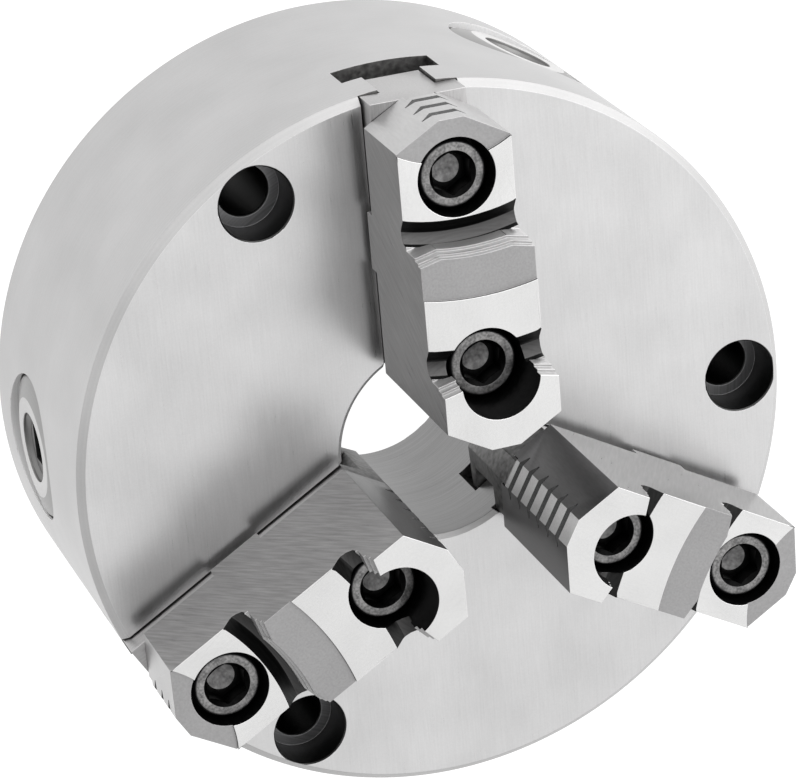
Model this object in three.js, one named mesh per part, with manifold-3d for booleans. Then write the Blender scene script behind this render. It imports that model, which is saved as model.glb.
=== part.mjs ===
// Three-jaw self-centring scroll chuck, 200 mm, with two-piece reversible jaws.
// Millimetres. +Z is the spindle axis with the front face up; the origin is the centre of
// the back mounting face, and jaw 1 points along +Y.
//
// Jaws and pinions are drawn in a radial frame (X outwards, Y across, counter-clockwise
// seen from the front) and turned into place, so that they all share the same numbers.

import * as THREE from 'three';
import { mergeVertices } from 'three/addons/utils/BufferGeometryUtils.js';
import { ConvexGeometry } from 'three/addons/geometries/ConvexGeometry.js';
import Module from 'manifold-3d';

const wasm = await Module();
wasm.setup();

// ---------------------------------------------------------------- driving dimensions
const degrees = Math.PI / 180;
const gap = 0.3;                       // running clearance between neighbouring pieces
const past = 1;                        // cutters reach this far past the faces they open
const sunk = 0.5;                      // joined shapes reach this far into each other
const positions = [1, 2, 3];           // jaw numbers, and the numbers of what belongs to them
const jawSpacing = 120 * degrees;
const firstJaw = 90 * degrees;
const largeRound = 72;                 // sides of the round shapes, by size
const mediumRound = 32;
const smallRound = 16;
const pinionRound = 48;
const hiddenRound = 48;                // pieces that are hidden inside

// Body
const bodyRadius = 100;
const bodyDepth = 86;
const boreRadius = 27.5;
const boreChamfer = 1.2;
const frontChamfer = 2;
const backChamfer = 1;
const registerRadius = 80;             // recess that the spindle adapter fits into
const registerDepth = 5;
const cavityRadius = 78;               // room for the scroll, inside the outer wall
const cavityCeiling = 66.3;
const hubRadius = 40;                  // the scroll turns on the hub
const hubEnd = 23;
const coverSeat = 12.8;                // step inside the register that the back cover meets

// Mounting holes, open from the front
const mountingCircle = 88;
const mountingOffset = 30 * degrees;   // counter-clockwise of each jaw
const mountingHoleRadius = 6.75;
const counterboreRadius = 10;
const counterboreDepth = 12;

// Jaw slots: a wide mouth, ribs that hold the jaw in, and a wide rear channel
const slotMouth = 13.6;                // half widths
const ribTip = 8;
const slotRear = 13.5;
const ribFront = 83.5;
const ribBack = 71;
const slotFloor = 61.2;
const hubSlotFloor = 58;               // deeper where the slot crosses the hub
const slotStart = 15;

// Scroll: a spiral thread in front, a bevel gear behind
const scrollBore = hubRadius + gap;
const scrollRadius = cavityRadius - 0.4;
const grooveFloor = 61;
const threadTop = 66;
const threadPitch = 8;
const threadWidth = 3.2;
const threadStart = 43;
const threadTurns = 4;
const threadStepsPerTurn = 36;
const scrollSleeveRadius = 61.5;
const scrollSleeveEnd = 46;

// Bevel gears: the pitch cones meet on the chuck axis, at the height of the pinions
const pinionHeight = 33;
const scrollTeeth = 54;
const pinionTeeth = 12;
const gearRatio = scrollTeeth / pinionTeeth;
const gearInner = 64;
const gearOuter = 76;
const addendum = 1.8;
const dedendum = 2.5;
const toothOverrun = 1;                // the scroll's teeth are wider than the pinions'
const gearReference = 72;              // radius at which the tooth thickness is stated
const toothHalfThickness = 1.35;
const flankSlope = Math.tan(20 * degrees);

// Pinions
const pinionLag = -30 * degrees;       // clockwise of each jaw
const pinionBoreRadius = 20.3;
const pinionBoreStart = 74;            // within the cavity, even at the sides of the bore
const pinionJournalRadius = 19.9;
const pinionJournalStart = 78.4;
const pinionRim = 97.7;                // a cone runs from the rim up to the face
const pinionFace = 99.1;
const pinionFaceRadius = 14;
const pinionEdge = 0.6;
const keyRecessRadius = 9.7;
const keyRecessDepth = 1.8;
const keyRecessFillet = 1;
const keySquare = 11;
const keyDepth = 18;
const retainingGrooveRadius = 17;
const retainingGrooveHalfWidth = 2.7;

// Pinion retaining screws: M8 set screws with a dog point
const retainingCircle = 90;
const retainingHoleRadius = 4.3;
const retainingHoleOverlap = 2;        // the holes open this far into the pinion bores
const retainingScrewRadius = 4;
const retainingScrewStart = 1;
const retainingScrewEdge = 0.6;
const dogPointRadius = 2;
const dogPointClearance = 0.4;
const retainingSocket = 4;             // hexagon across flats
const retainingSocketEnd = 5;

// Back cover
const coverFace = registerDepth;
const coverInside = coverSeat - gap;
const coverRadius = registerRadius - gap;
const coverEdge = 0.8;
const coverBore = 39.5;
const coverRingInner = hubRadius + 0.4;
const coverRingOuter = 56;
const lipInner = 30.8;                 // lip that is screwed to the end of the hub
const lipBack = 17;
const lipFront = hubEnd - gap;

// Cover screws: M4 countersunk
const coverScrewCircle = 35.4;
const coverScrewRadius = 2;
const coverScrewHead = 3.6;
const coverScrewHeadEdge = 0.3;
const coverScrewSunk = 0.3;            // the head lies this far below the lip
const coverScrewEnd = 32;
const coverScrewSocket = 2.5;
const coverScrewSocketDepth = 1.6;
const coverScrewClearance = 0.35;

// Master jaws
const masterNoseTip = 18.6;
const masterNoseHalf = 3.3;
const masterNoseCorner = 25;
const masterOuter = 98.9;
const masterFootOuter = 88;
const masterTop = 92;
const masterHalfWidth = 13.2;
const masterWaist = ribTip - 0.4;
const toothReferenceRadius = 56;       // the teeth are curved for the middle of the thread
const toothThickness = 3.4;
const toothTip = 61.4;
const toothHalfLength = 9.5;
const toothCurveSteps = 6;
const firstToothAfter = 32;            // teeth lie between these distances from the axis
const lastToothBefore = 86;
const railHalfWidth = 4;               // tongue along the jaw
const railHeight = 3;

// Top jaws, heights above the chuck face
const jawHalfWidth = 15.4;
const jawUnderside = 6.3;
const step1 = 31.6;
const step2 = 43.4;
const step3 = 53.6;
const noseCornerInner = 25.2;
const noseTipInner = 18.6;
const noseTipHalfInner = 3.9;
const noseCornerOuter = 93.2;
const noseTipOuter = 100;
const noseTipHalfOuter = 3.4;
const gripCentre = 130;                // common centre of the curved gripping walls
const wall2 = 68.6;                    // wall and groove places on the jaw's centre line
const wall3 = 37.3;
const groove1Edge = 73.6;
const groove2Edge = 42.9;
const bandEdge = 56.2;
const bandDepth = 0.6;
const noseArcCentre = 118.6;
const noseArcRadius = 30;
const keyInner = 53.5;                 // tongue across the underside
const keyOuter = 69.3;
const keyBottom = 2.7;
const wallLedges = 2;                  // ledges along the top of a gripping wall
const ledgeRise = 2.3;
const ledgeInset = 0.7;
const wallBevelStart = 9.5;            // the ends of the gripping walls are bevelled from here
const wallBevelInset = 1.6;
const wallBevelReach = 3;
const innerNoseTeeth = 7;
const outerNoseTeeth = 4;
const notchDepth = 1.3;
const notchUp = 0.2;                   // shares of the tooth pitch
const notchDown = 0.34;
const notchRoot = 0.05;

// Jaw screws, M12 socket heads
const outerScrewPlace = 84.4;
const innerScrewPlace = 36.9;
const outerHeadTop = 28.6;
const innerHeadTop = 40.2;
const headRadius = 9;
const headHeight = 12;
const headEdge = 1;
const shankRadius = 6;
const shankEdge = 1;
const socketAcrossFlats = 10;
const socketDepth = 6;
const jawCounterboreRadius = 10.5;
const outerShankLength = 25;
const innerShankLength = 35;
const threadedHoleRadius = shankRadius + gap;
const shankHoleRadius = 6.7;
const threadedHoleBottom = 76.5;

// Relief groove at the foot of a gripping wall: [distance inwards, height over the step], first
// from the groove's outer edge and then from the wall
const grooveFromEdge = [[0, 0], [2.6, -1.8], [3.4, -2.1]];
const grooveFromWall = [[-0.4, -1.8], [1.2, -0.8], [1.6, 0.4], [1, 1.9], [0, 2.6]];

// ---------------------------------------------------------------- solids
function solid(geometry) {
  const bare = geometry.clone();
  bare.deleteAttribute('normal');
  bare.deleteAttribute('uv');
  const merged = mergeVertices(bare, 1e-4);
  const corners = [];
  const index = merged.index.array;
  for (let i = 0; i < index.length; i += 3) {
    const [a, b, c] = [index[i], index[i + 1], index[i + 2]];
    if (a !== b && b !== c && c !== a) corners.push(a, b, c);
  }
  return new wasm.Manifold(new wasm.Mesh({
    numProp: 3,
    vertProperties: new Float32Array(merged.attributes.position.array),
    triVerts: new Uint32Array(corners),
  }));
}

function cut(body, cutters) {
  return cutters.reduce((rest, cutter) => rest.subtract(cutter), body);
}

function join(pieces) {
  return pieces.reduce((whole, piece) => whole.add(piece));
}

function geometryOf(manifold) {
  const mesh = manifold.getMesh();
  const geometry = new THREE.BufferGeometry();
  geometry.setAttribute('position', new THREE.BufferAttribute(mesh.vertProperties, 3));
  geometry.setIndex(new THREE.BufferAttribute(mesh.triVerts, 1));
  geometry.computeVertexNormals();
  return geometry;
}

// A profile of [radius, height] points, counter-clockwise, turned about Z.
function turned(profile, segments = largeRound) {
  const points = profile.map(([radius, height]) => new THREE.Vector2(radius, height));
  const onAxis = profile[0][0] === 0 && profile.at(-1)[0] === 0;
  if (!onAxis) points.push(points[0].clone());
  return new THREE.LatheGeometry(points, segments).rotateX(Math.PI / 2);
}

function cylinder(radius, bottom, top, segments = smallRound) {
  return turned([[0, bottom], [radius, bottom], [radius, top], [0, top]], segments);
}

function block(xRange, halfWidth, zRange) {
  const [x0, x1] = xRange;
  const [z0, z1] = zRange;
  const box = new THREE.BoxGeometry(x1 - x0, 2 * halfWidth, z1 - z0);
  return box.translate((x0 + x1) / 2, 0, (z0 + z1) / 2);
}

// ExtrudeGeometry turns a clockwise outline round by itself.
function prism(outline, bottom, top) {
  const shape = new THREE.Shape(outline.map(([x, y]) => new THREE.Vector2(x, y)));
  const geometry = new THREE.ExtrudeGeometry(shape, { depth: top - bottom, bevelEnabled: false });
  return geometry.translate(0, 0, bottom);
}

// A side profile of [x, z] points, extruded across the jaw from -halfWidth to +halfWidth.
function sideProfile(outline, halfWidth) {
  const across = prism(outline, -halfWidth, halfWidth);
  return across.rotateX(Math.PI / 2);
}

// A geometry about the Z axis laid down so that its axis points outwards along X.
function alongRadius(geometry, height) {
  return geometry.rotateY(Math.PI / 2).translate(0, 0, height);
}

function hexagon(acrossFlats, bottom, top) {
  return cylinder(acrossFlats / 2 / Math.cos(30 * degrees), bottom, top, 6);
}

function jawAngle(number) {
  return firstJaw + (number - 1) * jawSpacing;
}

function atEachJaw(makeGeometry, offset = 0) {
  return positions.map((number) => solid(makeGeometry().rotateZ(jawAngle(number) + offset)));
}

// ---------------------------------------------------------------- body
function bodyBlank() {
  return turned([
    [boreRadius, hubEnd],
    [hubRadius, hubEnd],
    [hubRadius, cavityCeiling],
    [cavityRadius, cavityCeiling],
    [cavityRadius, coverSeat],
    [registerRadius, coverSeat],
    [registerRadius, 0],
    [bodyRadius - backChamfer, 0],
    [bodyRadius, backChamfer],
    [bodyRadius, bodyDepth - frontChamfer],
    [bodyRadius - frontChamfer, bodyDepth],
    [boreRadius + boreChamfer, bodyDepth],
    [boreRadius, bodyDepth - boreChamfer],
  ]);
}

function jawSlots() {
  const length = [slotStart, bodyRadius + past];
  const hubLength = [slotStart, hubRadius + past];
  return [
    ...atEachJaw(() => block(length, slotMouth, [ribFront, bodyDepth + past])),
    ...atEachJaw(() => block(length, ribTip, [ribBack - past, ribFront + past])),
    ...atEachJaw(() => block(length, slotRear, [slotFloor, ribBack])),
    ...atEachJaw(() => block(hubLength, slotRear, [hubSlotFloor, slotFloor + past])),
  ];
}

function mountingHoles() {
  const counterboreFloor = bodyDepth - counterboreDepth;
  return [
    ...atEachJaw(() => cylinder(counterboreRadius, counterboreFloor, bodyDepth + past, mediumRound)
      .translate(mountingCircle, 0, 0), mountingOffset),
    ...atEachJaw(() => cylinder(mountingHoleRadius, -past, bodyDepth)
      .translate(mountingCircle, 0, 0), mountingOffset),
  ];
}

function pinionBores() {
  const insideBore = pinionHeight - pinionBoreRadius + retainingHoleOverlap;
  return [
    ...atEachJaw(() => alongRadius(
      cylinder(pinionBoreRadius, pinionBoreStart, bodyRadius + past, mediumRound), pinionHeight), pinionLag),
    ...atEachJaw(() => cylinder(retainingHoleRadius, -past, insideBore)
      .translate(retainingCircle, 0, 0), pinionLag),
  ];
}

function coverScrewHoles() {
  return atEachJaw(() => cylinder(coverScrewRadius + gap, hubEnd - past, coverScrewEnd + past)
    .translate(coverScrewCircle, 0, 0), mountingOffset);
}

function makeBody() {
  const cutters = [...jawSlots(), ...mountingHoles(), ...pinionBores(), ...coverScrewHoles()];
  return cut(solid(bodyBlank()), cutters);
}

// ---------------------------------------------------------------- scroll
class ThreadPath extends THREE.Curve {
  getPoint(t, target = new THREE.Vector3()) {
    const angle = t * threadTurns * 2 * Math.PI;
    const radius = threadStart + threadPitch * t * threadTurns;
    return target.set(radius * Math.cos(angle), radius * Math.sin(angle), 0);
  }
}

function spiralThread() {
  const foot = grooveFloor - sunk;
  const halfHeight = (threadTop - foot) / 2;
  const halfWidth = threadWidth / 2;
  const section = new THREE.Shape([
    new THREE.Vector2(-halfHeight, -halfWidth),
    new THREE.Vector2(halfHeight, -halfWidth),
    new THREE.Vector2(halfHeight, halfWidth),
    new THREE.Vector2(-halfHeight, halfWidth),
  ]);
  const thread = new THREE.ExtrudeGeometry(section, {
    steps: threadStepsPerTurn * threadTurns,
    extrudePath: new ThreadPath(),
  });
  return thread.translate(0, 0, foot + halfHeight);
}

// Half thickness of a bevel tooth at a distance from the chuck axis and a height over the pitch line.
function bevelHalfThickness(radius, overPitch) {
  return (toothHalfThickness - overPitch * flankSlope) * radius / gearReference;
}

function bevelTooth(radii, place) {
  const corners = [];
  for (const radius of radii) {
    for (const overPitch of [addendum, -dedendum - sunk]) {
      const half = bevelHalfThickness(radius, overPitch);
      corners.push(place(radius, overPitch, half), place(radius, overPitch, -half));
    }
  }
  return new ConvexGeometry(corners);
}

function pitchHeight(radius) {
  return pinionHeight + radius / gearRatio;
}

function scrollTooth() {
  return bevelTooth([gearInner - toothOverrun, gearOuter + toothOverrun], (radius, overPitch, across) =>
    new THREE.Vector3(radius, across, pitchHeight(radius) - overPitch));
}

function makeScroll() {
  const blank = turned([
    [scrollBore, scrollSleeveEnd],
    [scrollSleeveRadius, scrollSleeveEnd],
    [scrollSleeveRadius, pitchHeight(scrollSleeveRadius) + dedendum],
    [scrollRadius, pitchHeight(scrollRadius) + dedendum],
    [scrollRadius, grooveFloor],
    [scrollBore, grooveFloor],
  ], hiddenRound);
  const teeth = [];
  for (let i = 0; i < scrollTeeth; i += 1) {
    teeth.push(solid(scrollTooth().rotateZ(i * 2 * Math.PI / scrollTeeth)));
  }
  return join([solid(blank), solid(spiralThread()), ...teeth]);
}

// ---------------------------------------------------------------- pinions
function pinionTooth() {
  return bevelTooth([gearInner, gearOuter], (radius, overPitch, across) =>
    new THREE.Vector3(radius, across, radius / gearRatio + overPitch));
}

function makePinion() {
  const grooveStart = retainingCircle - retainingGrooveHalfWidth;
  const grooveEnd = retainingCircle + retainingGrooveHalfWidth;
  const blank = turned([
    [0, gearInner],
    [gearInner / gearRatio - dedendum, gearInner],
    [gearOuter / gearRatio - dedendum, pinionJournalStart - gap],
    [pinionJournalRadius, pinionJournalStart],
    [pinionJournalRadius, grooveStart],
    [retainingGrooveRadius, grooveStart],
    [retainingGrooveRadius, grooveEnd],
    [pinionJournalRadius, grooveEnd],
    [pinionJournalRadius, pinionRim - pinionEdge],
    [pinionJournalRadius - pinionEdge, pinionRim],
    [pinionFaceRadius, pinionFace],
    [0, pinionFace],
  ], pinionRound);
  const teeth = [];
  for (let i = 0; i < pinionTeeth; i += 1) {
    const turn = (i + 0.5) * 2 * Math.PI / pinionTeeth;
    teeth.push(solid(pinionTooth().rotateX(turn).translate(0, 0, pinionHeight)));
  }
  const recessFloor = pinionFace - keyRecessDepth;
  const recess = turned([
    [0, recessFloor],
    [keyRecessRadius - keyRecessFillet, recessFloor],
    [keyRecessRadius, recessFloor + keyRecessFillet],
    [keyRecessRadius, pinionFace + past],
    [0, pinionFace + past],
  ], mediumRound);
  const square = new THREE.BoxGeometry(keySquare, keySquare, keyDepth + past)
    .translate(0, 0, recessFloor + (past - keyDepth) / 2);
  const whole = join([solid(alongRadius(blank, pinionHeight)), ...teeth]);
  return cut(whole, [
    solid(alongRadius(recess, pinionHeight)),
    solid(alongRadius(square, pinionHeight)),
  ]);
}

// Set screw with a dog point that runs in the pinion's groove.
function makePinionScrew() {
  const pointEnd = pinionHeight - retainingGrooveRadius - dogPointClearance;
  const bodyEnd = pinionHeight - pinionBoreRadius - gap;
  const blank = turned([
    [0, retainingScrewStart],
    [retainingScrewRadius - retainingScrewEdge, retainingScrewStart],
    [retainingScrewRadius, retainingScrewStart + retainingScrewEdge],
    [retainingScrewRadius, bodyEnd - retainingScrewEdge],
    [retainingScrewRadius - retainingScrewEdge, bodyEnd],
    [dogPointRadius, bodyEnd],
    [dogPointRadius, pointEnd],
    [0, pointEnd],
  ], smallRound);
  return solid(blank).subtract(solid(hexagon(retainingSocket, 0, retainingSocketEnd)));
}

// ---------------------------------------------------------------- back cover
function countersink() {
  const head = coverScrewHead + coverScrewClearance;
  const hole = coverScrewRadius + coverScrewClearance;
  const coneStart = lipBack + coverScrewSunk + coverScrewHeadEdge;
  return turned([
    [0, lipBack - past],
    [head, lipBack - past],
    [head, coneStart],
    [hole, coneStart + head - hole],
    [hole, lipFront + past],
    [0, lipFront + past],
  ], smallRound);
}

function makeCover() {
  const blank = turned([
    [coverBore, coverFace],
    [coverRadius - coverEdge, coverFace],
    [coverRadius, coverFace + coverEdge],
    [coverRadius, coverInside],
    [coverRingOuter, coverInside],
    [coverRingOuter, scrollSleeveEnd - gap],
    [coverRingInner, scrollSleeveEnd - gap],
    [coverRingInner, lipFront],
    [lipInner, lipFront],
    [lipInner, lipBack],
    [coverBore, lipBack],
  ], hiddenRound);
  const holes = atEachJaw(() => countersink().translate(coverScrewCircle, 0, 0), mountingOffset);
  return cut(solid(blank), holes);
}

function makeCoverScrew() {
  const headTop = lipBack + coverScrewSunk;
  const coneStart = headTop + coverScrewHeadEdge;
  const blank = turned([
    [0, headTop],
    [coverScrewHead, headTop],
    [coverScrewHead, coneStart],
    [coverScrewRadius, coneStart + coverScrewHead - coverScrewRadius],
    [coverScrewRadius, coverScrewEnd],
    [0, coverScrewEnd],
  ], smallRound);
  const socket = hexagon(coverScrewSocket, lipBack - past, headTop + coverScrewSocketDepth);
  return solid(blank).subtract(solid(socket));
}

// ---------------------------------------------------------------- master jaws
function masterTooth(centre) {
  const slope = threadPitch / (2 * Math.PI * toothReferenceRadius);
  const outer = [];
  const inner = [];
  for (let i = 0; i <= toothCurveSteps; i += 1) {
    const y = toothHalfLength * (2 * i / toothCurveSteps - 1);
    const x = centre + slope * y - y * y / (2 * toothReferenceRadius);
    outer.push([x + toothThickness / 2, y]);
    inner.unshift([x - toothThickness / 2, y]);
  }
  return prism([...outer, ...inner], toothTip, cavityCeiling + sunk);
}

// The thread's grooves cross a jaw halfway between its ridges, so each jaw has its own teeth.
function masterTeeth(number) {
  const ridge = threadStart + threadPitch * jawAngle(number) / (2 * Math.PI);
  const groove = ridge + threadPitch / 2;
  const first = groove + threadPitch * Math.ceil((firstToothAfter - groove) / threadPitch);
  const teeth = [];
  for (let centre = first; centre < lastToothBefore; centre += threadPitch) {
    teeth.push(solid(masterTooth(centre)));
  }
  return teeth;
}

// A bar of the master jaw, pointed at its inner end so that the three jaws can close.
function nosedBar(outer, halfWidth, bottom, top) {
  const slope = (masterNoseCorner - masterNoseTip) / (masterHalfWidth - masterNoseHalf);
  const corner = masterNoseTip + slope * (halfWidth - masterNoseHalf);
  return prism([
    [corner, -halfWidth],
    [outer, -halfWidth],
    [outer, halfWidth],
    [corner, halfWidth],
    [masterNoseTip, masterNoseHalf],
    [masterNoseTip, -masterNoseHalf],
  ], bottom, top);
}

function makeMaster(number) {
  const wings = nosedBar(masterOuter, masterHalfWidth, ribFront + gap, masterTop);
  const waist = nosedBar(masterOuter, masterWaist, ribBack + gap, masterTop - sunk);
  const foot = nosedBar(masterFootOuter, masterHalfWidth, cavityCeiling, ribBack - gap);
  const link = nosedBar(masterFootOuter, masterWaist, cavityCeiling + sunk, ribBack + sunk);
  const rail = nosedBar(masterOuter, railHalfWidth, masterTop - sunk, masterTop + railHeight);
  const aboveRail = masterTop + railHeight + past;
  const keySlot = block([keyInner - gap, keyOuter + gap], masterHalfWidth + past,
    [bodyDepth + keyBottom - gap, aboveRail]);
  const screwHoles = [outerScrewPlace, innerScrewPlace].map((place) =>
    solid(cylinder(threadedHoleRadius, threadedHoleBottom, aboveRail)
      .translate(place, 0, 0)));
  const blank = join([wings, waist, foot, link, rail].map(solid));
  return join([cut(blank, [solid(keySlot), ...screwHoles]), ...masterTeeth(number)]);
}

// ---------------------------------------------------------------- top jaws
function jawOutline() {
  return [
    [noseCornerInner, -jawHalfWidth],
    [noseCornerOuter, -jawHalfWidth],
    [noseTipOuter, -noseTipHalfOuter],
    [noseTipOuter, noseTipHalfOuter],
    [noseCornerOuter, jawHalfWidth],
    [noseCornerInner, jawHalfWidth],
    [noseTipInner, noseTipHalfInner],
    [noseTipInner, -noseTipHalfInner],
  ];
}

// Height ranges of a gripping wall between its ledges, from the foot up to the end of what is
// cut away over the wall. Each one is set further inwards than the one below it.
function wallParts(foot, stepTop, end) {
  const levels = [foot];
  for (let left = wallLedges; left > 0; left -= 1) levels.push(stepTop - left * ledgeRise);
  levels.push(end);
  return levels.slice(1).map((top, i) => ({ bottom: levels[i], top, inset: i * ledgeInset }));
}

// Removes everything outside a curved wall and above a step, with the relief groove at the
// wall's foot. Radii run from the common centre of the curved walls, which lies outside the jaw.
function stepCutter(wall, grooveEdge, stepHeight, nextStep) {
  const wallRadius = gripCentre - wall;
  const edgeRadius = gripCentre - grooveEdge;
  const step = bodyDepth + stepHeight;
  const top = bodyDepth + step3 + past;
  const foot = step + grooveFromWall.at(-1)[1];
  const profile = [
    [0, step],
    ...grooveFromEdge.map(([inwards, up]) => [edgeRadius + inwards, step + up]),
    ...grooveFromWall.slice(0, -1).map(([inwards, up]) => [wallRadius + inwards, step + up]),
  ];
  for (const part of wallParts(foot, bodyDepth + nextStep, top)) {
    profile.push([wallRadius + part.inset, part.bottom], [wallRadius + part.inset, part.top]);
  }
  profile.push([0, top]);
  return turned(profile).translate(gripCentre, 0, 0);
}

// Lowers the strip of a step that lies outwards of an arc.
function bandCutter(centre, radius, stepHeight) {
  const step = bodyDepth + stepHeight;
  return cylinder(radius, step - bandDepth, step + past, largeRound).translate(centre, 0, 0);
}

// Bevels both ends of a curved wall, ledges and all.
function wallEndCutters(wall, stepHeight, nextStep) {
  const corner = jawHalfWidth + past;
  const start = wall + wallBevelStart ** 2 / (2 * (gripCentre - wall));
  const wallTop = bodyDepth + nextStep;
  const parts = wallParts(bodyDepth + stepHeight + past, wallTop, wallTop + past);
  const cutters = [];
  for (const { bottom, top, inset } of parts) {
    for (const side of [1, -1]) {
      cutters.push(solid(prism([
        [start - inset, side * wallBevelStart],
        [start - inset + wallBevelReach, side * wallBevelStart],
        [start - inset + wallBevelReach, side * corner],
        [start - inset - wallBevelInset, side * corner],
      ], bottom, top)));
    }
  }
  return cutters;
}

// Horizontal notches that leave a row of short teeth on a nose.
function noseNotches(tip, direction, bottom, top, teeth) {
  const pitch = (top - bottom) / teeth;
  const notches = [];
  for (let i = 1; i < teeth; i += 1) {
    const height = bodyDepth + bottom + i * pitch;
    notches.push(solid(sideProfile([
      [tip - past * direction, height - notchDown * pitch],
      [tip + direction * notchDepth, height - notchRoot * pitch],
      [tip + direction * notchDepth, height + notchRoot * pitch],
      [tip - past * direction, height + notchUp * pitch],
    ], jawHalfWidth)));
  }
  return notches;
}

function screwPassage(place, headTop) {
  const floor = bodyDepth + headTop - headHeight;
  return [
    solid(cylinder(jawCounterboreRadius, floor, bodyDepth + step3 + past, mediumRound)
      .translate(place, 0, 0)),
    solid(cylinder(shankHoleRadius, bodyDepth, floor + past).translate(place, 0, 0)),
  ];
}

function makeTopJaw() {
  const blank = prism(jawOutline(), bodyDepth + jawUnderside, bodyDepth + step3);
  const key = block([keyInner, keyOuter], jawHalfWidth,
    [bodyDepth + keyBottom, bodyDepth + jawUnderside + sunk]);
  const railGroove = block([noseTipInner - past, noseTipOuter + past], railHalfWidth + gap,
    [bodyDepth, masterTop + railHeight + gap]);
  return cut(join([solid(blank), solid(key)]), [
    solid(railGroove),
    solid(stepCutter(wall2, groove1Edge, step1, step2)),
    solid(stepCutter(wall3, groove2Edge, step2, step3)),
    solid(bandCutter(gripCentre, gripCentre - bandEdge, step2)),
    solid(bandCutter(noseArcCentre, noseArcRadius, step1)),
    ...wallEndCutters(wall2, step1, step2),
    ...wallEndCutters(wall3, step2, step3),
    ...noseNotches(noseTipInner, 1, jawUnderside, step3, innerNoseTeeth),
    ...noseNotches(noseTipOuter, -1, jawUnderside, step1, outerNoseTeeth),
    ...screwPassage(outerScrewPlace, outerHeadTop),
    ...screwPassage(innerScrewPlace, innerHeadTop),
  ]);
}

function makeJawScrew(place, headTop, shankLength) {
  const top = bodyDepth + headTop;
  const seat = top - headHeight + gap;
  const end = top - headHeight - shankLength;
  const blank = turned([
    [0, end],
    [shankRadius - shankEdge, end],
    [shankRadius, end + shankEdge],
    [shankRadius, seat],
    [headRadius, seat],
    [headRadius, top - headEdge],
    [headRadius - headEdge, top],
    [0, top],
  ], mediumRound);
  const socket = hexagon(socketAcrossFlats, top - socketDepth, top + past);
  return solid(blank.translate(place, 0, 0)).subtract(solid(socket.translate(place, 0, 0)));
}

// ---------------------------------------------------------------- materials
function metal(name, color, roughness, metalness) {
  return new THREE.MeshStandardMaterial({ name, color, roughness, metalness, flatShading: true });
}

const bodySteel = metal('body_steel', 0xc9c8c6, 0.4, 0.9);
const jawSteel = metal('jaw_steel', 0xb5b4b2, 0.32, 0.95);
const masterSteel = metal('master_steel', 0xa6a5a3, 0.4, 0.9);
const gearSteel = metal('gear_steel', 0x8b8a88, 0.45, 0.9);
const coverIron = metal('cover_iron', 0x77777a, 0.6, 0.8);
const blackOxide = metal('black_oxide', 0x1d1d1f, 0.5, 0.6);

// ---------------------------------------------------------------- assembly
const chuck = new THREE.Group();

function place(parent, name, manifold, material) {
  const mesh = new THREE.Mesh(geometryOf(manifold), material);
  mesh.name = name;
  parent.add(mesh);
  return mesh;
}

function radialGroup(angle) {
  const group = new THREE.Group();
  group.rotation.z = angle;
  chuck.add(group);
  return group;
}

place(chuck, 'chuck_body', makeBody(), bodySteel);
place(chuck, 'scroll_plate', makeScroll(), gearSteel);
place(chuck, 'back_cover', makeCover(), coverIron);

for (const number of positions) {
  const jaw = radialGroup(jawAngle(number));
  place(jaw, `master_jaw_${number}`, makeMaster(number), masterSteel);
  place(jaw, `top_jaw_${number}`, makeTopJaw(), jawSteel);
  place(jaw, `jaw_screw_${number}_outer`,
    makeJawScrew(outerScrewPlace, outerHeadTop, outerShankLength), blackOxide);
  place(jaw, `jaw_screw_${number}_inner`,
    makeJawScrew(innerScrewPlace, innerHeadTop, innerShankLength), blackOxide);

  const drive = radialGroup(jawAngle(number) + pinionLag);
  place(drive, `pinion_${number}`, makePinion(), gearSteel);
  place(drive, `pinion_screw_${number}`, makePinionScrew(), blackOxide).position.x = retainingCircle;

  const rear = radialGroup(jawAngle(number) + mountingOffset);
  place(rear, `cover_screw_${number}`, makeCoverScrew(), blackOxide).position.x = coverScrewCircle;
}

export default chuck;
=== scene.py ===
import math

import bmesh
import bpy
from mathutils import Matrix, Quaternion, Vector


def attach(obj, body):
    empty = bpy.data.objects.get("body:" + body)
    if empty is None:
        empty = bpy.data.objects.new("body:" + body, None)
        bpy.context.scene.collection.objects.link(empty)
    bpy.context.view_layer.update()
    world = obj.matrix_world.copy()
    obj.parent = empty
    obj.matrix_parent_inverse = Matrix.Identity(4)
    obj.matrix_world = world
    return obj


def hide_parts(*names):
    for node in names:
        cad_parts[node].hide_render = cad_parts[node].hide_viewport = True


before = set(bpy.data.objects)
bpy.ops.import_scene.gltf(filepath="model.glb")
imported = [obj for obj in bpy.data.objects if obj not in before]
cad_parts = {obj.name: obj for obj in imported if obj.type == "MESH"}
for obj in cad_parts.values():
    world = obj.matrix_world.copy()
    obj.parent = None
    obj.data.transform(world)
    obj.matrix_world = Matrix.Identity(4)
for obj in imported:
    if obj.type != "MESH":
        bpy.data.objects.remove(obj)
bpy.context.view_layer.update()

# Looks of the three-jaw lathe chuck. Blender works in metres; the sizes below are millimetres
# in the part's frame (+Z out of the front face, jaw 1 along +Y) and are scaled by MM when a
# mesh is made. Jaws, screws and pinions are built in a radial frame: X outwards, Y across.
MM = 0.001
NUMBERS = (1, 2, 3)
FIRST_JAW = 90
JAW_SPACING = 120
MOUNTING_OFFSET = 30
PINION_LAG = -30

# Sides of the round shapes
BODY_SIDES = 240
ARC_SIDES = 320
PORT_SIDES = 128
HOLE_SIDES = 64
HEX_SIDES = 6

# Cutters reach this far past the surfaces that they open
PAST = 1

# Widths of the broken edges, and the angles in degrees that count as edges
BODY_EDGE = 0.15
JAW_EDGE = 0.14
SCREW_EDGE = 0.12
COPY_EDGE = 0.2
EDGE_LIMIT = 32
SCREW_EDGE_LIMIT = 40

# Points nearer than this are welded, and faces that meet at less than this angle are made one
CUT_WELD = 0.004
COPY_WELD = 0.002
MASTER_FLATNESS = 0.6

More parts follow.
